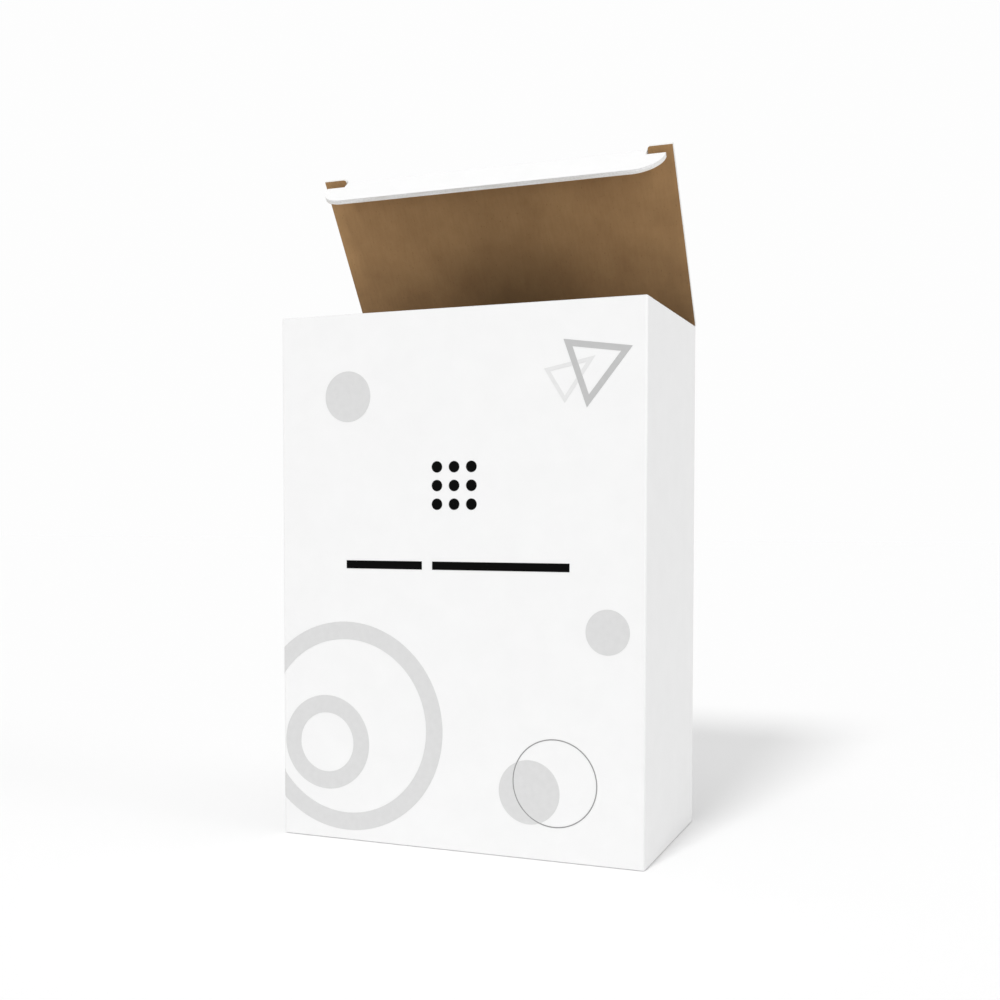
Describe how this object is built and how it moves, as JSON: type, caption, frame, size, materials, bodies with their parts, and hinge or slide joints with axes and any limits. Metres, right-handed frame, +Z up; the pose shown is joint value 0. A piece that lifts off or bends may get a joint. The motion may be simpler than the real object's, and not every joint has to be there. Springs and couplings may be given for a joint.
{
  "type": "auto-lock bottom box",
  "caption": "Upright tuck-top carton of white-lined board with an auto-lock bottom, its slit-lock lid part open and its tuck flap folded in.",
  "frame": {"origin": "centre of the base, on the surface that the carton stands on", "axes": "+Z up the walls, -Y out of the printed front, +Y out of the back wall that carries the lid, +X to the right of the front"},
  "size_m": [0.1521, 0.0801, 0.2745],
  "materials": {
    "lined_board": "smooth white liner outside, kraft liner inside",
    "kraft_board": "uncoated kraft liner inside, smooth white liner outside",
    "pale_ink": "matt printed tint",
    "light_ink": "matt printed tint",
    "grey_ink": "matt printed tint",
    "line_ink": "matt printed fine line",
    "black_ink": "matt printed black"
  },
  "bodies": {
    "carton": {"carton_body": "lined_board", "print_pale": "pale_ink", "print_light": "light_ink", "print_grey": "grey_ink", "print_line": "line_ink", "print_black": "black_ink"},
    "lid": {"lid": "kraft_board"},
    "tuck_flap": {"tuck_flap": "kraft_board"}
  },
  "joints": [
    {"name": "lid_crease", "type": "hinge", "parent": "carton", "child": "lid", "pos_m": [0, 0.03905, 0.21125], "axis": [-1, 0, 0], "range_deg": [-56.1, 123.9]},
    {"name": "tuck_crease", "type": "hinge", "parent": "lid", "child": "tuck_flap", "pos_m": [0, -0.00175, 0.27197], "axis": [-1, 0, 0], "range_deg": [-6, 96]}
  ]
}
